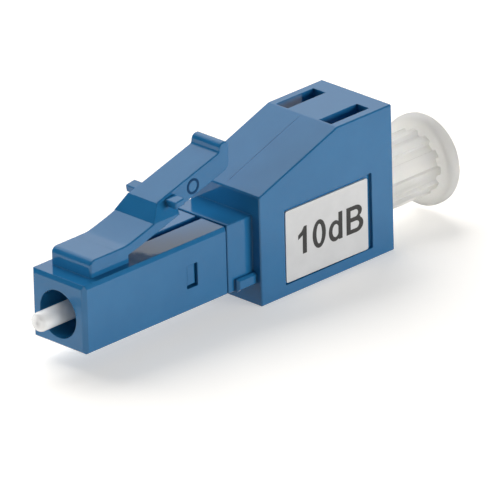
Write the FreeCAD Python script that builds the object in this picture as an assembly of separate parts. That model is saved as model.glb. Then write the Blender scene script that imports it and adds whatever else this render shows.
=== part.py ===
import FreeCAD, Part
import math
import os

# Fixed fibre attenuator, plug in front and jack behind, millimetres.
# X runs along the fibre from the plug's front face towards the jack.
# Z is up and Y = 0, Z = 0 is the fibre's own line.

# Plug nose
nose_length = 12.36
nose_half_width = 2.33
nose_top = 2.46
nose_depth = 2.08
bevel_in = 0.12
bevel_drop = 0.28
nose_corner = 0.25
nose_edge = 0.12
nose_bore_r = 1.575
nose_bore_depth = 3.80
nose_side_wall = 0.45
nose_top_wall = 0.60
nose_bottom_wall = 0.50
seat_wall = 0.80
seat_hole_r = 1.20
slit_width = 0.52
window_front = 8.80
window_length = 0.95
window_low = -0.60
window_high = 0.95
window_corner = 0.10
shadow_gap = 0.10
shadow_depth = 0.20

# Latch
latch_front = 1.20
latch_half_width = 1.72
latch_rise = 1.14
latch_nose_r = 0.45
latch_corner = 0.10
root_run = 0.40
hinge_x = 4.46
hinge_gap = 0.02
flex_thickness = 0.64
flex_run = 2.26
flex_lift = 0.635
flex_sag = 0.03
step_lean = 0.75
step_height = 1.02
arm_half_width = 1.24
arm_angle = 16.2
arm_run = 5.48
arm_depth = 1.50
ridge_lean = 0.10
ridge_height = 0.59
ridge_length = 0.75
ridge_root_r = 0.20
ridge_front_r = 0.38
ridge_back_r = 0.34
tip_r = 0.60
arm_edge = 0.06
ear_front = 8.17
ear_length = 0.76
ear_half_span = 2.20
ear_rise = 1.07
ear_height = 0.44
ear_round = 0.08
ear_tilt = 8.0
cheek_run = 2.21
arm_lead = 0.06

# Neck and jack housing
neck_length = 2.18
neck_proud = 0.06
neck_edge = 0.05
rail_gap = 0.54
rail_out = 0.34
rail_height = 0.84
rail_edge = 0.15
housing_length = 11.82
housing_front_top = 3.86
housing_top = 6.38
roof_length = 4.83
housing_edge = 0.07
port_clearance = 0.06
port_side_wall = 0.64
port_floor = 1.35
port_front_wall = 0.51
mouth_chamfer = 0.18
slope_wall = 0.75
ear_roof = 1.53
key_roof = 0.70
slot_inner = 1.36
slot_width = 1.06
slot_back_wall = 1.37
slot_setback = 0.10

# Tongue that carries the plug shell
fit_gap = 0.03
tongue_tip_gap = 0.20
tab_play = 0.04
tab_length = 0.82
tab_ramp = 0.20
tab_sunk = 0.18
tab_lift = 0.04
spring_bore_r = 1.15
spring_wall = 0.60
ferrule_hole_r = 0.70

# Ferrule, fibre and overmoulded flange
ferrule_r = 0.625
ferrule_out = 1.85
ferrule_round = 0.30
ferrule_round_steps = 4
ferrule_chamfer = 0.16
ferrule_chamfer_length = 0.20
fibre_r = 0.0625
fibre_hole_r = 0.064
flange_length = 2.20
flange_r = 1.42
flange_chamfer = 0.25
flange_groove_r = 0.45
flange_groove_lead = 0.10
flange_notch = 0.50
flange_notch_depth = 0.30
float_travel = 0.60
float_spare = 0.30
face_gap = 0.02
flange_room = 0.08

# Spring
spring_mean_r = 0.93
spring_wire_r = 0.12
spring_turns = 4
spring_wire_sides = 6

# Split sleeve and its holder
sleeve_length = 6.40
sleeve_wall = 0.175
sleeve_slide = 0.01
sleeve_slit = 0.25
sleeve_out = 1.74
sleeve_room = 0.06
holder_wall = 0.58
holder_flange_r = 1.80
holder_flange = 0.70
holder_lip = 0.55
holder_lip_r = 0.70
holder_lead = 0.15

# Dust cap
cap_bore_gap = 0.05
cap_stem_gap = 0.12
cap_tip_gap = 0.50
cap_tip_chamfer = 0.20
cap_back_gap = 0.05
cap_core_r = 1.90
cap_rib_r = 2.20
cap_rib_width = 0.52
cap_ribs = 12
cap_handle_length = 5.06
cap_flange_r = 3.02
cap_flange = 1.10
cap_flange_round = 0.38
cap_rim_steps = 4
cap_bore_spare = 1.20
cap_rib_root = 0.20

# Label in its shallow pocket
label_length = 7.26
label_height = 4.79
label_corner = 0.12
label_thickness = 0.14
label_tilt = 0.40
label_ahead = 2.30
label_low = 2.67
pocket_depth = 0.20
pocket_front_gap = 0.16
pocket_rear_gap = 0.34
pocket_low_gap = 0.05
pocket_high_gap = 0.26
pocket_corner = 0.12

# Places that follow from the sizes
nose_bottom = -nose_depth
cavity_half = nose_half_width - nose_side_wall
cavity_top = nose_top - nose_top_wall
cavity_bottom = nose_bottom + nose_bottom_wall
seat_x = nose_bore_depth + seat_wall
flange_x = seat_x + face_gap
flange_back = flange_x + flange_length
tongue_x = flange_back + float_travel + float_spare
cavity_x = tongue_x - tongue_tip_gap
housing_x = nose_length + neck_length
housing_back = housing_x + housing_length
roof_x = housing_back - roof_length
port_half = nose_half_width + port_clearance
port_bottom = nose_bottom - port_clearance
housing_half = port_half + port_side_wall
housing_bottom = port_bottom - port_floor
port_x = housing_x + port_front_wall
sleeve_back = port_x + sleeve_out
sleeve_x = sleeve_back - sleeve_length
spring_seat = sleeve_x - face_gap - spring_wall
optic_x = sleeve_x + sleeve_length / 2
sleeve_bore_r = ferrule_r + sleeve_slide
sleeve_r = sleeve_bore_r + sleeve_wall
holder_bore_r = sleeve_r + sleeve_room
holder_r = holder_bore_r + holder_wall
holder_x = port_x - holder_flange
holder_back = sleeve_back + face_gap + holder_lip
cap_bore_r = holder_r + cap_bore_gap
cap_stem_r = -port_bottom - cap_stem_gap
cap_tip = port_x + cap_tip_gap
cap_shoulder = housing_back + cap_back_gap
cap_flange_x = cap_shoulder + cap_handle_length
cap_end = cap_flange_x + cap_flange
latch_top = nose_top + latch_rise
flex_chord = math.hypot(flex_run, flex_lift)
bend_r = (flex_chord ** 2 / 4 + flex_sag ** 2) / (2 * flex_sag)
bend_half = math.asin(flex_chord / (2 * bend_r))
bend_mid = math.atan2(flex_lift, flex_run)
bend_start = bend_mid - bend_half
bend_end = bend_mid + bend_half
root_r = root_run / math.sin(bend_start)
hinge_top = latch_top + root_r * (1 - math.cos(bend_start))
bend_x = hinge_x - bend_r * math.sin(bend_start)
bend_z = hinge_top + bend_r * math.cos(bend_start)
pivot_x = hinge_x + flex_thickness / 2 * math.sin(bend_start)
pivot_z = hinge_top - flex_thickness / 2 * math.cos(bend_start)
step_x = hinge_x + flex_run
step_z = hinge_top + flex_lift
shoulder_x = step_x + step_lean
shoulder_z = step_z + step_height
arm_slope = math.tan(math.radians(arm_angle))
ridge_x = shoulder_x + arm_run
ridge_z = shoulder_z + arm_run * arm_slope
tip_x = ridge_x + ridge_lean + ridge_length
tip_top = ridge_z + ridge_height
housing_slope = (housing_top - housing_front_top) / (roof_x - housing_x)

os.makedirs("parts", exist_ok=True)
V = FreeCAD.Vector


def block(x0, x1, y0, y1, z0, z1):
    return Part.makeBox(x1 - x0, y1 - y0, z1 - z0, V(x0, y0, z0))


def rod(radius, x0, x1):
    return Part.makeCylinder(radius, x1 - x0, V(x0, 0, 0), V(1, 0, 0))


def side_profile(points, y0, y1):
    corners = [V(x, y0, z) for x, z in points]
    corners.append(corners[0])
    face = Part.Face(Part.makePolygon(corners))
    return face.extrude(V(0, y1 - y0, 0))


def turned(points):
    corners = [V(x, 0, r) for x, r in points]
    corners.append(corners[0])
    face = Part.Face(Part.makePolygon(corners))
    return face.revolve(V(0, 0, 0), V(1, 0, 0), 360)


def quarter_round(centre_x, centre_r, radius, first, steps):
    points = []
    for step in range(steps + 1):
        angle = math.radians(first - 90 * step / steps)
        points.append((centre_x + radius * math.cos(angle), centre_r + radius * math.sin(angle)))
    return points


def along(edge, direction):
    start = edge.Vertexes[0].Point
    end = edge.Vertexes[-1].Point
    run = end - start
    return run.Length > 1e-6 and abs(run.normalize().dot(direction)) > 0.999


def near(edge, x, z, reach=0.01):
    centre = edge.CenterOfMass
    return math.hypot(centre.x - x, centre.z - z) < reach


def mirrored(shape):
    return shape.mirror(V(0, 0, 0), V(0, 1, 0))


def arm_top_at(x):
    return shoulder_z + (x - shoulder_x) * arm_slope


def arm_under_at(x):
    return arm_top_at(x) - arm_depth


def slope_at(x):
    return housing_front_top + (x - housing_x) * housing_slope


# Bar with steep bevels along its top
def bevelled_bar(x0, x1):
    half = nose_half_width
    section = [
        V(x0, -half, nose_bottom),
        V(x0, half, nose_bottom),
        V(x0, half, nose_top - bevel_drop),
        V(x0, half - bevel_in, nose_top),
        V(x0, -half + bevel_in, nose_top),
        V(x0, -half, nose_top - bevel_drop),
    ]
    bar = Part.Face(Part.makePolygon(section + [section[0]])).extrude(V(x1 - x0, 0, 0))
    low = [e for e in bar.Edges if along(e, V(1, 0, 0)) and e.CenterOfMass.z < nose_bottom + 0.001]
    return bar.makeFillet(nose_edge, low)


# Cutter that takes a flat slice off the bar's front, from a line on the front face to a line behind it
def front_slice(x, z_front, z_back):
    beyond = 2 * z_back
    points = [(0, z_front), (x, z_back), (x, beyond), (-x, beyond), (-x, z_front)]
    return side_profile(points, -2 * nose_half_width, 2 * nose_half_width)


# Cutter for the upright front corner of a bar that starts at x
def corner_slice(x, half, size):
    low = 2 * nose_bottom
    points = [
        V(x, size - half, low),
        V(x + size, -half, low),
        V(x + size, -2 * half, low),
        V(x - size, -2 * half, low),
        V(x - size, size - half, low),
    ]
    return Part.Face(Part.makePolygon(points + [points[0]])).extrude(V(0, 0, 2 * (latch_top - nose_bottom)))


# Rise at the root's back end, which starts level and ends along the flex strip
def make_root_rise():
    first = hinge_x - root_run

    def on_rise(angle):
        return V(first + root_r * math.sin(angle), -latch_half_width, latch_top + root_r * (1 - math.cos(angle)))

    crown = Part.Arc(on_rise(0), on_rise(bend_start / 2), on_rise(bend_start)).toShape()
    floor = latch_top - root_run / 2
    corners = [on_rise(bend_start), V(hinge_x, -latch_half_width, floor), V(first, -latch_half_width, floor), on_rise(0)]
    rise = Part.Face(Part.Wire([crown] + Part.makePolygon(corners).Edges)).extrude(V(0, 2 * latch_half_width, 0))
    crests = [e for e in rise.Edges if isinstance(e.Curve, Part.Circle)]
    return rise.makeChamfer(arm_edge, crests)


# Plug shell: bevelled bar, stepped bore, tongue cavity, snap windows, slits and a shadow gap at its back
def make_plug_shell():
    shell = bevelled_bar(0, nose_length)
    corner = corner_slice(0, nose_half_width, nose_corner)
    shell = shell.cut(corner).cut(mirrored(corner))
    shell = shell.cut(front_slice(bevel_in, nose_top - bevel_drop, nose_top))
    shell = shell.cut(front_slice(nose_edge, nose_bottom + nose_edge, nose_bottom))
    root = block(latch_front, hinge_x, -latch_half_width, latch_half_width, nose_top - bevel_in, latch_top)
    front_top = [e for e in root.Edges if near(e, latch_front, latch_top)]
    root = root.makeFillet(latch_nose_r, front_top)
    outer = []
    for e in root.Edges:
        box = e.BoundBox
        flat = box.YMax - box.YMin < 0.001
        if flat and box.XMin < hinge_x - 0.01 and box.ZMax > nose_top:
            outer.append(e)
    root = root.makeChamfer(arm_edge, outer)
    corner = corner_slice(latch_front, latch_half_width, latch_corner)
    root = root.cut(corner).cut(mirrored(corner))
    shell = shell.multiFuse([root, make_root_rise()])
    knuckle = Part.makeCylinder(
        flex_thickness / 2 + hinge_gap,
        4 * latch_half_width,
        V(pivot_x, -2 * latch_half_width, pivot_z),
        V(0, 1, 0),
    )
    shell = shell.cut(knuckle)
    shell = shell.cut(rod(nose_bore_r, -1, nose_bore_depth))
    shell = shell.cut(rod(seat_hole_r, nose_bore_depth - 0.1, seat_x + 0.1))
    shell = shell.cut(rod(flange_r + flange_room, seat_x, cavity_x + 0.1))
    shell = shell.cut(
        block(cavity_x, nose_length + 1, -cavity_half, cavity_half, cavity_bottom, cavity_top)
    )
    window_back = window_front + window_length
    reach = 2 * nose_half_width
    window = block(window_front, window_back, -reach, reach, window_low, window_high)
    window = window.makeFillet(window_corner, [e for e in window.Edges if along(e, V(0, 1, 0))])
    shell = shell.cut(window)
    rebate = block(nose_length - shadow_gap, nose_length + 1, -reach, reach, 2 * nose_bottom, 2 * nose_top)
    land_half = nose_half_width - shadow_depth
    land = block(
        nose_length - 2 * shadow_gap,
        nose_length + 2,
        -land_half,
        land_half,
        nose_bottom + shadow_depth,
        nose_top - shadow_depth,
    )
    shell = shell.cut(rebate.cut(land))
    half_slit = slit_width / 2
    slit = block(cavity_x, nose_length + 1, -half_slit, half_slit, 2 * nose_bottom, 2 * nose_top)
    return shell.cut(slit)


# Latch: curved flex strip, stepped arm with a thumb ridge, tapered shoulder and two ears
def make_latch():
    outer_r = bend_r + flex_thickness

    def on_bend(radius, angle):
        return V(bend_x + radius * math.sin(angle), -latch_half_width, bend_z - radius * math.cos(angle))

    top_points = [on_bend(bend_r, angle) for angle in (bend_start, bend_mid, bend_end)]
    under_points = [on_bend(outer_r, angle) for angle in (bend_end, bend_mid, bend_start)]
    knuckle = flex_thickness / 2
    knuckle_x = pivot_x - knuckle * math.cos(bend_start)
    knuckle_z = pivot_z - knuckle * math.sin(bend_start)
    top = Part.Arc(*top_points).toShape()
    under = Part.Arc(*under_points).toShape()
    end = Part.LineSegment(top_points[-1], under_points[0]).toShape()
    start = Part.Arc(under_points[-1], V(knuckle_x, -latch_half_width, knuckle_z), top_points[0]).toShape()
    strip = Part.Face(Part.Wire([top, end, under, start])).extrude(V(0, 2 * latch_half_width, 0))
    bends = [e for e in strip.Edges if isinstance(e.Curve, Part.Circle)]
    strip = strip.makeChamfer(arm_edge, [e for e in bends if abs(e.Curve.Radius - bend_r) < 1e-6])

    lead_x = step_x + arm_lead
    arm_outline = [
        (step_x, step_z),
        (shoulder_x, shoulder_z),
        (ridge_x, ridge_z),
        (ridge_x + ridge_lean, tip_top),
        (tip_x, tip_top),
        (tip_x, arm_under_at(tip_x)),
        (lead_x, arm_under_at(lead_x)),
    ]
    arm = side_profile(arm_outline, -arm_half_width, arm_half_width)
    rounds = [
        (ridge_x + ridge_lean, tip_top, ridge_front_r),
        (tip_x, tip_top, ridge_back_r),
        (tip_x, arm_under_at(tip_x), tip_r),
        (ridge_x, ridge_z, ridge_root_r),
    ]
    for x, z, radius in rounds:
        arm = arm.makeFillet(radius, [e for e in arm.Edges if near(e, x, z)])
    slope = V(1, 0, arm_slope).normalize()
    long_edges = [e for e in arm.Edges if along(e, slope) and abs(e.CenterOfMass.y) > arm_half_width - 0.01]
    arm = arm.makeChamfer(arm_edge, long_edges)

    shoulder_back = step_x + cheek_run
    w = latch_half_width
    n = arm_half_width
    base = [V(step_x, -w, step_z), V(shoulder_back, -w, step_z), V(shoulder_back, w, step_z), V(step_x, w, step_z)]
    crest = [
        V(shoulder_x, -n, shoulder_z),
        V(shoulder_back, -n, shoulder_z),
        V(shoulder_back, n, shoulder_z),
        V(shoulder_x, n, shoulder_z),
    ]
    base_wire = Part.makePolygon(base + [base[0]])
    crest_wire = Part.makePolygon(crest + [crest[0]])
    shoulder = Part.makeLoft([base_wire, crest_wire], True, True)
    cheek_outline = [
        (step_x, step_z),
        (shoulder_back, step_z),
        (shoulder_back, arm_under_at(shoulder_back)),
        (lead_x, arm_under_at(lead_x)),
    ]
    cheeks = side_profile(cheek_outline, -w, w)

    ear_top = step_z + ear_rise
    ear = block(
        ear_front,
        ear_front + ear_length,
        -ear_half_span,
        0,
        ear_top - ear_height,
        ear_top,
    )
    ear = ear.makeFillet(ear_round, [e for e in ear.Edges if near(e, ear_front, ear_top)])
    outer = [e for e in ear.Edges if e.BoundBox.YMax < -ear_half_span + 0.01]
    ear = ear.makeChamfer(arm_edge, outer)
    ear.rotate(V(ear_front, 0, ear_top), V(0, 1, 0), -ear_tilt)
    return strip.multiFuse([arm, shoulder, cheeks, ear, mirrored(ear)]).removeSplitter()


# Rear housing: wedge, neck, rails, tongue with snap tabs, and the open jack
def make_rear_housing():
    outline = [
        (housing_x, housing_bottom),
        (housing_back, housing_bottom),
        (housing_back, housing_top),
        (roof_x, housing_top),
        (housing_x, housing_front_top),
    ]
    wedge = side_profile(outline, -housing_half, housing_half)
    wedge = wedge.makeChamfer(housing_edge, wedge.Edges)
    neck = block(
        nose_length,
        housing_x + port_front_wall,
        -nose_half_width,
        nose_half_width,
        nose_bottom,
        nose_top + neck_proud,
    )
    neck = neck.makeChamfer(neck_edge, [e for e in neck.Edges if e.BoundBox.XMin < nose_length + 0.001])
    body = wedge.fuse(neck)

    rail = block(
        nose_length + rail_gap,
        housing_x + housing_edge,
        -nose_half_width - rail_out,
        -nose_half_width + rail_out,
        nose_bottom,
        nose_bottom + rail_height,
    )
    outer = [e for e in rail.Edges if e.BoundBox.YMax < -nose_half_width - rail_out + 0.01]
    rail = rail.makeChamfer(rail_edge, outer)
    body = body.multiFuse([rail, mirrored(rail)])

    tongue_half = cavity_half - fit_gap
    tongue = block(
        tongue_x,
        nose_length + neck_length / 2,
        -tongue_half,
        tongue_half,
        cavity_bottom + fit_gap,
        cavity_top - fit_gap,
    )
    tab_x = window_front + tab_play
    tab_out = nose_half_width - tab_sunk
    tab_low = window_low + window_corner + tab_lift
    tab_high = window_high - window_corner
    tab_points = [
        V(tab_x, -tongue_half + fit_gap, tab_low),
        V(tab_x, -tab_out + tab_ramp / 2, tab_low),
        V(tab_x + tab_ramp, -tab_out, tab_low),
        V(tab_x + tab_length, -tab_out, tab_low),
        V(tab_x + tab_length, -tongue_half + fit_gap, tab_low),
    ]
    tab_face = Part.Face(Part.makePolygon(tab_points + [tab_points[0]]))
    tab = tab_face.extrude(V(0, 0, tab_high - tab_low))
    body = body.multiFuse([tongue, tab, mirrored(tab)])

    body = body.cut(rod(spring_bore_r, tongue_x - 1, spring_seat))
    body = body.cut(rod(ferrule_hole_r, spring_seat - 1, sleeve_x))
    body = body.cut(rod(holder_bore_r, sleeve_x - face_gap, holder_x + 0.1))
    body = body.cut(rod(holder_flange_r + fit_gap, holder_x, port_x + 0.1))

    past = housing_back + 1
    ear_top = housing_top - ear_roof
    key_top = housing_top - key_roof
    bay = block(port_x, past, -port_half, port_half, port_bottom, ear_top)
    keyway = block(port_x, past, -slot_inner, slot_inner, port_bottom, key_top)
    under_slope = side_profile(
        [
            (port_x - 1, port_bottom - 1),
            (past + 1, port_bottom - 1),
            (past + 1, slope_at(past + 1) - slope_wall),
            (port_x - 1, slope_at(port_x - 1) - slope_wall),
        ],
        -2 * port_half,
        2 * port_half,
    )
    jack = bay.fuse(keyway).common(under_slope)
    body = body.cut(jack)
    flare = mouth_chamfer
    mouth = Part.makeLoft(
        [
            mouth_wire(housing_back - flare, 0, ear_top, key_top),
            mouth_wire(housing_back + flare, 2 * flare, ear_top, key_top),
        ],
        True,
        True,
    )
    body = body.cut(mouth)

    slot = block(
        roof_x + slot_setback,
        housing_back - slot_back_wall,
        -slot_inner - slot_width,
        -slot_inner,
        ear_top - 0.1,
        housing_top + 1,
    )
    body = body.cut(slot).cut(mirrored(slot))
    return body.cut(label_pocket())


def mouth_wire(x, spread, ear_top, key_top):
    half = port_half + spread
    key = slot_inner + spread
    points = [
        V(x, -half, port_bottom - spread),
        V(x, half, port_bottom - spread),
        V(x, half, ear_top + spread),
        V(x, key, ear_top + spread),
        V(x, key, key_top + spread),
        V(x, -key, key_top + spread),
        V(x, -key, ear_top + spread),
        V(x, -half, ear_top + spread),
    ]
    return Part.makePolygon(points + [points[0]])


# Pocket and label share the same place on the housing's side
def label_centre_x():
    return housing_x + label_ahead + label_length / 2


def label_centre_z():
    return -label_low + label_height / 2


def label_pocket():
    x0 = label_centre_x() - label_length / 2 - pocket_front_gap
    x1 = label_centre_x() + label_length / 2 + pocket_rear_gap
    z0 = label_centre_z() - label_height / 2 - pocket_low_gap
    z1 = label_centre_z() + label_height / 2 + pocket_high_gap
    pocket = block(x0, x1, -housing_half - 1, -housing_half + pocket_depth, z0, z1)
    return pocket.makeFillet(pocket_corner, [e for e in pocket.Edges if along(e, V(0, 1, 0))])


def make_label():
    x0 = label_centre_x() - label_length / 2
    z0 = label_centre_z() - label_height / 2
    back = -housing_half + pocket_depth
    label = block(x0, x0 + label_length, back - label_thickness, back, z0, z0 + label_height)
    label = label.makeFillet(label_corner, [e for e in label.Edges if along(e, V(0, 1, 0))])
    label.rotate(V(label_centre_x(), 0, label_centre_z()), V(0, 1, 0), label_tilt)
    return label


# Ferrule: turned zirconia with a round tip, a fibre hole and a grooved seat for the flange
def make_ferrule():
    tip = -ferrule_out
    rim = ferrule_r - ferrule_chamfer
    groove_x = flange_x - flange_groove_lead
    inset = ferrule_r - ferrule_round
    nose = quarter_round(tip + ferrule_round, inset, ferrule_round, 180, ferrule_round_steps)
    return turned(
        [(tip, fibre_hole_r)]
        + nose
        + [
            (groove_x, ferrule_r),
            (groove_x, flange_groove_r),
            (flange_back, flange_groove_r),
            (flange_back, ferrule_r),
            (optic_x - ferrule_chamfer_length, ferrule_r),
            (optic_x, rim),
            (optic_x, fibre_hole_r),
        ]
    )


def make_fibre():
    return rod(fibre_r, -ferrule_out, optic_x)


def make_flange():
    body = turned(
        [
            (flange_x, flange_groove_r),
            (flange_x, flange_r),
            (flange_back - flange_chamfer, flange_r),
            (flange_back, flange_r - flange_chamfer),
            (flange_back, flange_groove_r),
        ]
    )
    half = flange_notch / 2
    notch = block(
        flange_x + flange_length / 2,
        flange_back + 1,
        -half,
        half,
        flange_r - flange_notch_depth,
        flange_r + 1,
    )
    for quarter in range(4):
        cutter = notch.copy()
        cutter.rotate(V(0, 0, 0), V(1, 0, 0), 90 * quarter)
        body = body.cut(cutter)
    return body


# Spring: six-sided wire on a helix between the flange and the seat in the tongue
def make_spring():
    room = spring_seat - flange_back - 2 * face_gap
    height = room - 2 * spring_wire_r
    pitch = height / spring_turns
    helix = Part.makeHelix(pitch, height, spring_mean_r)
    heading = V(0, 2 * math.pi * spring_mean_r, pitch).normalize()
    outward = V(1, 0, 0)
    upward = heading.cross(outward)
    corners = []
    for number in range(spring_wire_sides + 1):
        angle = 2 * math.pi * (number + 0.5) / spring_wire_sides
        reach = outward * math.cos(angle) + upward * math.sin(angle)
        corners.append(V(spring_mean_r, 0, 0) + reach * spring_wire_r)
    section = Part.makePolygon(corners)
    coil = Part.Wire(helix.Edges).makePipeShell([section], True, True)
    coil.rotate(V(0, 0, 0), V(0, 1, 0), 90)
    coil.translate(V(flange_back + face_gap + spring_wire_r, 0, 0))
    return coil


# Split sleeve: thin tube with one slit along its length
def make_split_sleeve():
    tube = rod(sleeve_r, sleeve_x, sleeve_back).cut(rod(sleeve_bore_r, sleeve_x - 1, sleeve_back + 1))
    half = sleeve_slit / 2
    return tube.cut(block(sleeve_x - 1, sleeve_back + 1, -half, half, 0, 2 * sleeve_r))


# Holder: flanged tube over the sleeve with an inward lip at its mouth
def make_sleeve_holder():
    return turned(
        [
            (holder_x, holder_bore_r),
            (holder_x, holder_flange_r),
            (port_x, holder_flange_r),
            (port_x, holder_r),
            (holder_back - holder_lead, holder_r),
            (holder_back, holder_r - holder_lead),
            (holder_back, holder_lip_r + holder_lead),
            (holder_back - holder_lead, holder_lip_r),
            (holder_back - holder_lip, holder_lip_r),
            (holder_back - holder_lip, holder_bore_r),
        ]
    )


# Dust cap: hollow stem over the holder, ribbed handle and a round-rimmed flange
def make_dust_cap():
    blind = holder_back + cap_bore_spare
    core = turned(
        [
            (cap_tip, cap_bore_r),
            (cap_tip, cap_stem_r - cap_tip_chamfer),
            (cap_tip + cap_tip_chamfer, cap_stem_r),
            (cap_shoulder, cap_stem_r),
            (cap_shoulder, cap_core_r),
            (cap_flange_x + cap_flange / 2, cap_core_r),
            (cap_flange_x + cap_flange / 2, 0),
            (blind, 0),
            (blind, cap_bore_r),
        ]
    )
    flat_r = cap_flange_r - cap_flange_round
    front_rim = quarter_round(cap_flange_x + cap_flange_round, flat_r, cap_flange_round, 180, cap_rim_steps)
    back_rim = quarter_round(cap_end - cap_flange_round, flat_r, cap_flange_round, 90, cap_rim_steps)
    disc = turned([(cap_flange_x, 0)] + front_rim + back_rim + [(cap_end, 0)])
    half = cap_rib_width / 2
    ridge = block(
        cap_shoulder,
        cap_flange_x + cap_flange / 2,
        -half,
        half,
        cap_core_r - cap_rib_root,
        cap_rib_r,
    )
    ridge = ridge.common(rod(cap_rib_r, cap_shoulder, cap_end))
    ribs = []
    for number in range(cap_ribs):
        rib = ridge.copy()
        rib.rotate(V(0, 0, 0), V(1, 0, 0), 360 / cap_ribs * number)
        ribs.append(rib)
    return core.multiFuse([disc] + ribs).removeSplitter()


pieces = {
    "plug_shell": make_plug_shell(),
    "latch": make_latch(),
    "rear_housing": make_rear_housing(),
    "ferrule": make_ferrule(),
    "attenuating_fibre": make_fibre(),
    "ferrule_flange": make_flange(),
    "ferrule_spring": make_spring(),
    "split_sleeve": make_split_sleeve(),
    "sleeve_holder": make_sleeve_holder(),
    "dust_cap": make_dust_cap(),
    "value_label": make_label(),
}
for name, shape in pieces.items():
    solid = shape.Solids[0] if len(shape.Solids) == 1 else shape
    solid.exportStep("parts/" + name + ".step")
    print(name, "solids", len(shape.Solids), "valid", shape.isValid(), "volume", round(shape.Volume, 3))
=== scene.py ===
import math

import bmesh
import bpy
from mathutils import Matrix, Vector
from mathutils.geometry import tessellate_polygon


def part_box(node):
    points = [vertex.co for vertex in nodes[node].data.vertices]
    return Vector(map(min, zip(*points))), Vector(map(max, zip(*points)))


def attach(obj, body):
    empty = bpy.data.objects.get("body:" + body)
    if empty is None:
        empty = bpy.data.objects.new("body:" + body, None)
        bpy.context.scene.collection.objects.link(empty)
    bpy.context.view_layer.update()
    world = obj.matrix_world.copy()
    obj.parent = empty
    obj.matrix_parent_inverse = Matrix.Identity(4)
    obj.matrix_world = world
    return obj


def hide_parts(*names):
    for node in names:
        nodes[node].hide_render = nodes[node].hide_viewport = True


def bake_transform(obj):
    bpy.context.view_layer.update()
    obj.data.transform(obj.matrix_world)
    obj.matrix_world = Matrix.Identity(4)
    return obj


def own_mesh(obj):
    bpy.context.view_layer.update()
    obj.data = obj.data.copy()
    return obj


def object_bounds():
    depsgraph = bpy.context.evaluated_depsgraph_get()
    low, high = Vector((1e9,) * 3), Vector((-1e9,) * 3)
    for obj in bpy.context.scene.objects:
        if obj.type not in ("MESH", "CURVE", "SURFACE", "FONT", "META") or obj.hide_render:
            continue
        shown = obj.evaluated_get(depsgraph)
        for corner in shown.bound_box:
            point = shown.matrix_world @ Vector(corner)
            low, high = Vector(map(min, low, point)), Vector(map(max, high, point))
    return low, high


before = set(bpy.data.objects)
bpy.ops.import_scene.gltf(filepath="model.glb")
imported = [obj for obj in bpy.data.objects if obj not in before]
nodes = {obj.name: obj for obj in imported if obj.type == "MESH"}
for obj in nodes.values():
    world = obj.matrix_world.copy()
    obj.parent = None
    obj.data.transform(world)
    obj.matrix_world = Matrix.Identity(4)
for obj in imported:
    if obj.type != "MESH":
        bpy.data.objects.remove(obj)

# Fixed fibre attenuator: looks for the CAD frame. Bare lengths of the part are in millimetres
MM = 0.001
cad_low, cad_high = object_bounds()

# Colours, linear
BLUE_DEEP = (0.0150, 0.142, 0.328, 1)
BLUE_PALE = (0.0180, 0.154, 0.348, 1)
# Mould mark: dark blue that is painted shade of the mark's small walls
MARK_SHADE_PALE = (0.0040, 0.050, 0.140, 1)
MARK_SHADE_DEEP = (0.0030, 0.042, 0.120, 1)
# Mould line: a little darker than the blue, as painted shade of its edges
LINE_SHADE_PALE = (0.0130, 0.124, 0.288, 1)
LINE_SHADE_DEEP = (0.0120, 0.116, 0.272, 1)
CAP_WHITE = (0.900, 0.890, 0.858, 1)
CAP_PALE = (0.925, 0.917, 0.888, 1)
CERAMIC_WHITE = (0.900, 0.910, 0.905, 1)
CERAMIC_WARM = (0.880, 0.888, 0.880, 1)
PAPER_WHITE = (0.700, 0.705, 0.710, 1)
PAPER_GREY = (0.660, 0.665, 0.670, 1)
INK = (0.022, 0.022, 0.021, 1)
INK_GREY = (0.036, 0.035, 0.034, 1)
COLLAR_DARK = (0.020, 0.020, 0.021, 1)
COLLAR_GREY = (0.032, 0.032, 0.033, 1)
STEEL_DARK = (0.500, 0.500, 0.505, 1)
STEEL_PALE = (0.600, 0.600, 0.605, 1)
GLASS_COOL = (0.800, 0.820, 0.840, 1)
GLASS_PALE = (0.860, 0.880, 0.900, 1)
FLOOR_WHITE = (0.828, 0.797, 0.750, 1)
WHITE = (1, 1, 1, 1)

# Relief of the materials: size and depth of the waves and grains, radius of the soft edges
SMOOTH_WAVE = (1.6 * MM, 0.003 * MM)
STILL_WAVE = (1.6 * MM, 0.001 * MM)
FINE_GRAIN = (0.10 * MM, 0.00012 * MM)
PAPER_GRAIN = (0.06 * MM, 0.0008 * MM)
SOFT_EDGE = 0.06 * MM

# Noise: octaves, and the span of its values that the colours and the gloss use
PATCH_DETAIL = 3
GRAIN_DETAIL = 2
WAVE_DETAIL = 1
COLOUR_SPAN = (0.35, 0.65)
GLOSS_SPAN = (0.3, 0.7)
EDGE_SAMPLES = 6


# Node helpers
def add(tree, kind, **values):
    node = tree.nodes.new(kind)
    for key, value in values.items():
        setattr(node, key, value)
    return node


def noise(tree, coords, size, detail):
    node = add(tree, "ShaderNodeTexNoise")
    node.inputs["Scale"].default_value = 1 / size
    node.inputs["Detail"].default_value = detail
    tree.links.new(coords, node.inputs["Vector"])
    return node.outputs[0]


def ramp(tree, factor, *colours):
    node = add(tree, "ShaderNodeValToRGB")
    for element, position, colour in zip(node.color_ramp.elements, COLOUR_SPAN, colours):
        element.position = position
        element.color = colour
    tree.links.new(factor, node.inputs[0])
    return node.outputs[0]


def remap(tree, value, source, target, **values):
    node = add(tree, "ShaderNodeMapRange", **values)
    for side, span in (("From", source), ("To", target)):
        node.inputs[side + " Min"].default_value = span[0]
        node.inputs[side + " Max"].default_value = span[1]
    tree.links.new(value, node.inputs["Value"])
    return node.outputs[0]


def larger(tree, a, b):
    node = add(tree, "ShaderNodeMath", operation="MAXIMUM")
    tree.links.new(a, node.inputs[0])
    tree.links.new(b, node.inputs[1])
    return node.outputs[0]


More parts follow.
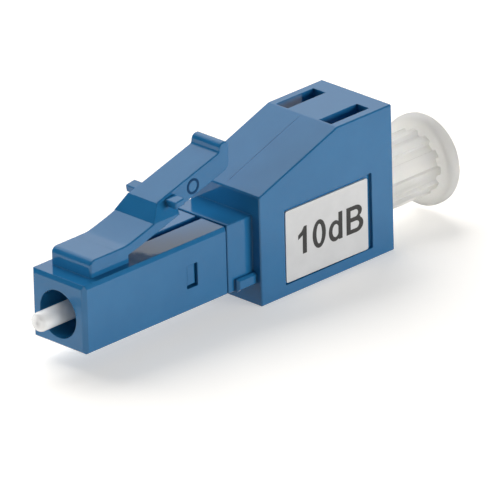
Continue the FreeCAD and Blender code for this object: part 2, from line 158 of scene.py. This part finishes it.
def rays(tree, first, *others):
    path = add(tree, "ShaderNodeLightPath")
    seen = path.outputs[first]
    for kind in others:
        seen = larger(tree, seen, path.outputs[kind])
    return seen


def bump(tree, height, distance, under=None):
    node = add(tree, "ShaderNodeBump")
    node.inputs["Distance"].default_value = distance
    tree.links.new(height, node.inputs["Height"])
    if under is not None:
        tree.links.new(under, node.inputs["Normal"])
    return node.outputs[0]


# One material: mottled colour, uneven gloss, slow waves, a fine grain and, if asked, soft edges
def surface(
    name, low, high, gloss, patch, wave=STILL_WAVE, grain=FINE_GRAIN, edge=None, **sockets
):
    mat = bpy.data.materials.new(name)
    mat.use_nodes = True
    tree = mat.node_tree
    shader = tree.nodes["Principled BSDF"]
    coords = add(tree, "ShaderNodeTexCoord").outputs["Object"]
    patches = noise(tree, coords, patch, PATCH_DETAIL)
    fine = noise(tree, coords, grain[0], GRAIN_DETAIL)
    slow = noise(tree, coords, wave[0], WAVE_DETAIL)
    tree.links.new(ramp(tree, patches, low, high), shader.inputs["Base Color"])
    tree.links.new(remap(tree, patches, GLOSS_SPAN, gloss), shader.inputs["Roughness"])
    rounded = None
    if edge is not None:
        corners = add(tree, "ShaderNodeBevel", samples=EDGE_SAMPLES)
        corners.inputs["Radius"].default_value = edge
        rounded = corners.outputs[0]
    relief = bump(tree, fine, grain[1], bump(tree, slow, wave[1], rounded))
    tree.links.new(relief, shader.inputs["Normal"])
    for key, value in sockets.items():
        shader.inputs[key.replace("_", " ")].default_value = value
    return mat


blue = surface(
    "blue_plastic",
    BLUE_DEEP,
    BLUE_PALE,
    gloss=(0.075, 0.115),
    patch=2.4 * MM,
    wave=SMOOTH_WAVE,
    edge=SOFT_EDGE,
)
# Mould mark material: same plastic, darkened as painted shade
mark_painted_shade = surface(
    "mark_painted_shade",
    MARK_SHADE_DEEP,
    MARK_SHADE_PALE,
    gloss=(0.50, 0.60),
    patch=0.6 * MM,
    Specular_IOR_Level=0.2,
)
# Mould line material: same plastic, slightly darkened as painted shade
line_painted_shade = surface("line_painted_shade", LINE_SHADE_DEEP, LINE_SHADE_PALE, gloss=(0.30, 0.40), patch=0.6 * MM)
white = surface(
    "cap_plastic",
    CAP_WHITE,
    CAP_PALE,
    gloss=(0.45, 0.58),
    patch=2.5 * MM,
    wave=SMOOTH_WAVE,
    Specular_IOR_Level=0.25,
    Transmission_Weight=0.55,
    Subsurface_Weight=1.0,
    Subsurface_Radius=(1.0, 1.0, 0.9),
    Subsurface_Scale=4.0 * MM,
)
ceramic = surface(
    "ceramic",
    CERAMIC_WARM,
    CERAMIC_WHITE,
    gloss=(0.14, 0.22),
    patch=0.8 * MM,
    IOR=2.15,
    Subsurface_Weight=1.0,
    Subsurface_Radius=(1.0, 1.0, 1.0),
    Subsurface_Scale=1.2 * MM,
)
paper = surface(
    "label_paper",
    PAPER_GREY,
    PAPER_WHITE,
    gloss=(0.42, 0.55),
    patch=1.2 * MM,
    wave=SMOOTH_WAVE,
    grain=PAPER_GRAIN,
)
ink = surface(
    "label_ink", INK, INK_GREY, gloss=(0.40, 0.55), patch=0.3 * MM, grain=PAPER_GRAIN
)
collar = surface(
    "collar_plastic", COLLAR_DARK, COLLAR_GREY, gloss=(0.40, 0.50), patch=1.0 * MM
)
steel = surface(
    "spring_steel", STEEL_DARK, STEEL_PALE, gloss=(0.20, 0.30), patch=0.5 * MM, Metallic=1.0
)
glass = surface("fibre_glass", GLASS_COOL, GLASS_PALE, gloss=(0.05, 0.10), patch=0.2 * MM)

# Shading: flat faces stay flat, round faces run smooth, edges past the angle stay sharp
WELD = 0.0002 * MM
CRISP_ANGLE = 16
SOFT_ANGLE = 30
WIRE_ANGLE = 70


def crisp_group(name, angle):
    group = bpy.data.node_groups.new(name, "GeometryNodeTree")
    for way in ("INPUT", "OUTPUT"):
        group.interface.new_socket("Geometry", in_out=way, socket_type="NodeSocketGeometry")
    start = add(group, "NodeGroupInput")
    weld = add(group, "GeometryNodeMergeByDistance")
    weld.inputs["Distance"].default_value = WELD
    drop = add(group, "GeometryNodeRemoveAttribute")
    drop.inputs["Name"].default_value = "custom_normal"
    faces = add(group, "GeometryNodeSetShadeSmooth", domain="FACE")
    edges = add(group, "GeometryNodeSetShadeSmooth", domain="EDGE")
    sharp = add(group, "GeometryNodeSetShadeSmooth", domain="EDGE")
    sharp.inputs["Shade Smooth"].default_value = False
    fold = add(group, "GeometryNodeInputMeshEdgeAngle")
    past = add(group, "FunctionNodeCompare", data_type="FLOAT", operation="GREATER_THAN")
    past.inputs["B"].default_value = math.radians(angle)
    end = add(group, "NodeGroupOutput")
    group.links.new(fold.outputs["Unsigned Angle"], past.inputs["A"])
    group.links.new(past.outputs["Result"], sharp.inputs["Selection"])
    chain = [start, weld, drop, faces, edges, sharp, end]
    for a, b in zip(chain, chain[1:]):
        group.links.new(a.outputs["Geometry"], b.inputs["Geometry"])
    return group


crisp = crisp_group("crisp_shading", CRISP_ANGLE)
soft = crisp_group("soft_shading", SOFT_ANGLE)
round_wire = crisp_group("wire_shading", WIRE_ANGLE)


def dressed(piece, mat, group):
    for place in piece.material_slots:
        place.material = mat
    shade = piece.modifiers.new("crisp", "NODES")
    shade.node_group = group
    even = piece.modifiers.new("even", "WEIGHTED_NORMAL")
    even.keep_sharp = True


# The solids. The spring is left out, because spring_coil replaces it
dress = {
    "plug_shell": (blue, crisp),
    "latch": (blue, crisp),
    "rear_housing": (blue, crisp),
    "sleeve_holder": (blue, crisp),
    "ferrule": (ceramic, soft),
    "split_sleeve": (ceramic, crisp),
    "attenuating_fibre": (glass, crisp),
    "ferrule_flange": (collar, crisp),
    "dust_cap": (white, soft),
    "value_label": (paper, crisp),
}
for name, (mat, group) in dress.items():
    dressed(nodes[name], mat, group)


# Piece helpers
def in_scene(name, data):
    piece = bpy.data.objects.new(name, data)
    bpy.context.scene.collection.objects.link(piece)
    return piece


def built(name, shape, place, mat):
    mesh = bpy.data.meshes.new(name)
    shape.to_mesh(mesh)
    shape.free()
    mesh.transform(place @ Matrix.Scale(MM, 4))
    mesh.materials.append(mat)
    return in_scene(name, mesh)


# The spring is a copy of its solid, with smooth wire, fixed to the housing
coil = in_scene("spring_coil", nodes["ferrule_spring"].data.copy())
dressed(coil, steel, round_wire)
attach(coil, "housing")
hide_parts("ferrule_spring")
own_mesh(coil)

# Skin over the living hinge: shell and latch are one moulding, so it covers their seam.
# The root and the strip have the sizes that the part's source has
HINGE_X = 4.46
ROOT_TOP = 3.60
ROOT_RUN = 0.40
STRIP_RUN = 2.26
STRIP_LIFT = 0.635
STRIP_SAG = 0.03
STRIP_HALF = 1.72
STRIP_CHAMFER = 0.06
SKIN_START = 3.40
SKIN_DEPTH = 0.635
SKIN_OUT = 0.004
SKIN_RISE = 0.014
SKIN_STEPS = 40
strip_chord = math.hypot(STRIP_RUN, STRIP_LIFT)
strip_r = (strip_chord**2 / 4 + STRIP_SAG**2) / (2 * STRIP_SAG)
strip_lean = math.atan2(STRIP_LIFT, STRIP_RUN) - math.asin(strip_chord / (2 * strip_r))
root_r = ROOT_RUN / math.sin(strip_lean)
hinge_top = ROOT_TOP + root_r * (1 - math.cos(strip_lean))
rise_x = HINGE_X - ROOT_RUN
skin_run = HINGE_X + STRIP_RUN - SKIN_OUT - SKIN_START


# Height and lean of the moulding's top at x: flat block, rising root, curved strip
def crest(x):
    if x < rise_x:
        return ROOT_TOP, 0.0
    if x < HINGE_X:
        lean = math.asin((x - rise_x) / root_r)
        return ROOT_TOP + root_r * (1 - math.cos(lean)), lean
    lean = math.asin(math.sin(strip_lean) + (x - HINGE_X) / strip_r)
    return hinge_top + strip_r * (math.cos(strip_lean) - math.cos(lean)), lean


# One row of points across the moulding: up one side, over the top and down the other
def skin_row(shape, x):
    top, lean = crest(x)
    climb = min(1, (x - SKIN_START) / (rise_x - SKIN_START))
    rise = SKIN_OUT + (SKIN_RISE - SKIN_OUT) * climb
    side = STRIP_HALF + SKIN_OUT
    shelf = STRIP_HALF - STRIP_CHAMFER
    half = [(side, SKIN_DEPTH), (side, STRIP_CHAMFER), (shelf, -rise)]
    section = [(-y, depth) for y, depth in half] + half[::-1]
    return [
        shape.verts.new((x + depth * math.sin(lean), y, top - depth * math.cos(lean)))
        for y, depth in section
    ]


shape = bmesh.new()
stations = [SKIN_START + skin_run * step / SKIN_STEPS for step in range(SKIN_STEPS + 1)]
rows = [skin_row(shape, x) for x in stations]
for row, following in zip(rows, rows[1:]):
    for n in range(len(row) - 1):
        shape.faces.new((row[n], following[n], following[n + 1], row[n + 1]))
skin = built("hinge_skin", shape, Matrix.Identity(4), blue)
dressed(skin, blue, crisp)
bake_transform(skin)


# Thin raised pieces: outlines in a plane, filled and given a depth
def arc(x, z, rx, rz, start, end, steps):
    points = []
    for step in range(steps + 1):
        angle = math.radians(start + (end - start) * step / steps)
        points.append((x + rx * math.cos(angle), z + rz * math.sin(angle)))
    return points


def oval(x, z, rx, rz, count):
    return arc(x, z, rx, rz, 0, 360 - 360 / count, count - 1)


def slab(shape, outlines, depth):
    loops = [[Vector((x, z, 0)) for x, z in outline] for outline in outlines]
    flat = [p for loop in loops for p in loop]
    low = [shape.verts.new(p) for p in flat]
    high = [shape.verts.new(p + Vector((0, 0, depth))) for p in flat]
    for a, b, c in tessellate_polygon(loops):
        shape.faces.new((low[a], low[b], low[c]))
        shape.faces.new((high[a], high[c], high[b]))
    first = 0
    for loop in loops:
        count = len(loop)
        for number in range(count):
            a = first + number
            b = first + (number + 1) % count
            shape.faces.new((low[a], low[b], high[b], high[a]))
        first += count


def raised(name, glyphs, depth, place, mat, body):
    shape = bmesh.new()
    for outlines in glyphs:
        slab(shape, outlines, depth)
    bmesh.ops.recalc_face_normals(shape, faces=shape.faces[:])
    piece = built(name, shape, place, mat)
    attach(piece, body)


# Plain figures and letters, drawn on a baseline
TALL = 1.83
figure_one = [
    [
        (0.40, 0),
        (0.76, 0),
        (0.76, TALL),
        (0.52, TALL),
        (0.30, 1.53),
        (0, 1.34),
        (0, 1.04),
        (0.40, 1.25),
    ]
]
figure_nought = [oval(1.86, 0.915, 0.585, 0.95, 40), oval(1.86, 0.915, 0.245, 0.66, 36)]
letter_d = [
    [
        (3.92, 0),
        (3.92, TALL),
        (3.57, TALL),
        *arc(3.26, 0.66, 0.55, 0.70, 55.7, 304.3, 30),
        (3.57, 0),
    ],
    arc(3.32, 0.66, 0.29, 0.43, 33.6, 326.4, 24),
]
letter_b = [
    [
        (4.28, 0),
        *arc(5.18, 0.51, 0.60, 0.51, -90, 52, 18),
        *arc(5.12, 1.40, 0.54, 0.43, -52, 90, 18),
        (4.28, TALL),
    ],
    [(4.65, 0.28), *arc(5.13, 0.53, 0.28, 0.25, -90, 90, 14), (4.65, 0.78)],
    [(4.65, 1.07), *arc(5.08, 1.31, 0.24, 0.24, -90, 90, 14), (4.65, 1.55)],
]

# The rating printed on the label
UPRIGHT = Matrix.Rotation(math.radians(90), 4, "X")
PRINT_START = (17.90 * MM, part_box("value_label")[0].y, -1.13 * MM)
PRINT_TILT = 0.9
PRINT_DEPTH = 0.006
tilt = Matrix.Rotation(math.radians(PRINT_TILT), 4, "Y")
raised(
    "value_print",
    [figure_one, figure_nought, letter_d, letter_b],
    PRINT_DEPTH,
    Matrix.Translation(PRINT_START) @ tilt @ UPRIGHT,
    ink,
    "housing",
)

# Plain round mould mark on the latch's side. Its dark blue is painted shade of the mark's tiny
# walls, not a colour of its own
MARK_PLACE = (10.63 * MM, -1.24 * MM, 5.42 * MM)
MARK_DEPTH = 0.02
MARK_OUTER = 0.52
MARK_INNER = 0.36
mark_ring = [
    oval(0, 0, MARK_OUTER, MARK_OUTER, 60),
    oval(0, 0, MARK_INNER, MARK_INNER, 45),
]
raised(
    "mould_mark",
    [mark_ring],
    MARK_DEPTH,
    Matrix.Translation(MARK_PLACE) @ UPRIGHT,
    mark_painted_shade,
    "latch",
)

# Faint mould line up the housing's slope, a little darker than the blue as painted shade of its
# edges
SLOPE_FOOT = (14.54, 0.10, 3.86)
SLOPE_TOP = (21.53, 0.10, 6.38)
LINE_DEPTH = 0.008
LINE_START = 0.5
LINE_END = 7.2
LINE_HALF = 0.022
slope_angle = math.atan2(SLOPE_TOP[2] - SLOPE_FOOT[2], SLOPE_TOP[0] - SLOPE_FOOT[0])
incline = Matrix.Rotation(-slope_angle, 4, "Y")
line = [
    (LINE_START, -LINE_HALF),
    (LINE_END, -LINE_HALF),
    (LINE_END, LINE_HALF),
    (LINE_START, LINE_HALF),
]
raised(
    "mould_line",
    [[line]],
    LINE_DEPTH,
    Matrix.Translation(Vector(SLOPE_FOOT) * MM) @ incline,
    line_painted_shade,
    "housing",
)

# Camera, solved from the photograph's corners
AZIMUTH = math.radians(-44.722)
ELEVATION = math.radians(23.629)
ROLL = math.radians(-1.555)
TARGET = Vector((12.308, -4.371, 1.5)) * MM
DISTANCE = 719.97 * MM
SENSOR = 36
FOCAL_LENGTH = 843.2
NEAREST = 0.01
FARTHEST = 20

back = Vector(
    (
        math.sin(AZIMUTH) * math.cos(ELEVATION),
        -math.cos(AZIMUTH) * math.cos(ELEVATION),
        math.sin(ELEVATION),
    )
)
right = Vector((0, 0, 1)).cross(back).normalized()
up = back.cross(right)
right_rolled = right * math.cos(ROLL) + up * math.sin(ROLL)
up_rolled = up * math.cos(ROLL) - right * math.sin(ROLL)
turn = Matrix((right_rolled, up_rolled, back)).transposed().to_4x4()
lens = bpy.data.cameras.new("camera")
lens.sensor_width = SENSOR
lens.lens = FOCAL_LENGTH
lens.clip_start = NEAREST
lens.clip_end = FARTHEST
camera = in_scene("camera", lens)
camera.matrix_world = Matrix.Translation(TARGET + back * DISTANCE) @ turn
bpy.context.scene.camera = camera

# Floor that the housing lies on, lifted to white where it is seen
FLOOR_REACH = 3.0
FLOOR_GLOW = 0.425
corners = [(-1, -1), (1, -1), (1, 1), (-1, 1)]
floor_points = [(x * FLOOR_REACH, y * FLOOR_REACH, cad_low.z) for x, y in corners]
floor_mesh = bpy.data.meshes.new("floor")
floor_mesh.from_pydata(floor_points, [], [(0, 1, 2, 3)])
floor = in_scene("floor", floor_mesh)
floor_mat = bpy.data.materials.new("floor")
floor_mat.use_nodes = True
tree = floor_mat.node_tree
shader = tree.nodes["Principled BSDF"]
shader.inputs["Base Color"].default_value = FLOOR_WHITE
shader.inputs["Roughness"].default_value = 1.0
shader.inputs["Specular IOR Level"].default_value = 0.0
shader.inputs["Emission Color"].default_value = WHITE
glow = add(tree, "ShaderNodeMath", operation="MULTIPLY")
glow.inputs[1].default_value = FLOOR_GLOW
seen = rays(tree, "Is Camera Ray", "Is Glossy Ray", "Is Transmission Ray")
tree.links.new(seen, glow.inputs[0])
tree.links.new(glow.outputs[0], shader.inputs["Emission Strength"])
floor_mesh.materials.append(floor_mat)

# World: white where it is seen, and a plain fill where it lights. Mirrors show a white
# horizon, a dim ceiling and one bright card
WORLD_FILL = 0.12
CEILING = 0.04
HORIZON = 0.12
CARD = 1.5
CARD_EDGE = 0.72
CARD_TOWARDS = Vector((0.35, 0.66, 0.66)).normalized()
SMOOTH = {"interpolation_type": "SMOOTHSTEP"}
world = bpy.data.worlds.new("studio")
bpy.context.scene.world = world
world.use_nodes = True
tree = world.node_tree
background = tree.nodes["Background"]
background.inputs["Color"].default_value = WHITE
sky = add(tree, "ShaderNodeTexCoord").outputs["Generated"]
split = add(tree, "ShaderNodeSeparateXYZ")
tree.links.new(sky, split.inputs[0])
ceiling = remap(tree, split.outputs["Z"], (0, HORIZON), (1, CEILING), **SMOOTH)
facing = add(tree, "ShaderNodeVectorMath", operation="DOT_PRODUCT")
facing.inputs[1].default_value = CARD_TOWARDS
tree.links.new(sky, facing.inputs[0])
card = remap(tree, facing.outputs["Value"], (CARD_EDGE, 1), (0, CARD), **SMOOTH)
mirrored = add(tree, "ShaderNodeMix", data_type="FLOAT")
mirrored.inputs["A"].default_value = WORLD_FILL
tree.links.new(rays(tree, "Is Glossy Ray"), mirrored.inputs["Factor"])
tree.links.new(larger(tree, ceiling, card), mirrored.inputs["B"])
level = add(tree, "ShaderNodeMix", data_type="FLOAT")
level.inputs["B"].default_value = 1.0
straight = rays(tree, "Is Camera Ray", "Is Transmission Ray")
tree.links.new(straight, level.inputs["Factor"])
tree.links.new(mirrored.outputs[0], level.inputs["A"])
tree.links.new(level.outputs[0], background.inputs["Strength"])

# Soft lamps, in metres and watts
middle = (cad_low + cad_high) / 2


def softbox(name, towards, distance, width, height, power):
    lamp = bpy.data.lights.new(name, "AREA")
    lamp.shape = "RECTANGLE"
    lamp.size = width
    lamp.size_y = height
    lamp.energy = power
    box = in_scene(name, lamp)
    box.location = middle + Vector(towards).normalized() * distance
    box.rotation_euler = (middle - box.location).to_track_quat("-Z", "Y").to_euler()
    box.visible_glossy = False


softbox(
    "back_box", (0.16, 0.66, 0.735), distance=0.60, width=0.62, height=0.50, power=4.2
)
softbox(
    "right_box", (0.40, -0.90, 0.14), distance=0.80, width=0.50, height=0.26, power=4.8
)
softbox(
    "left_box", (-0.90, 0.40, 0.07), distance=0.80, width=0.50, height=0.16, power=2.6
)

bpy.context.scene.view_settings.view_transform = "Standard"
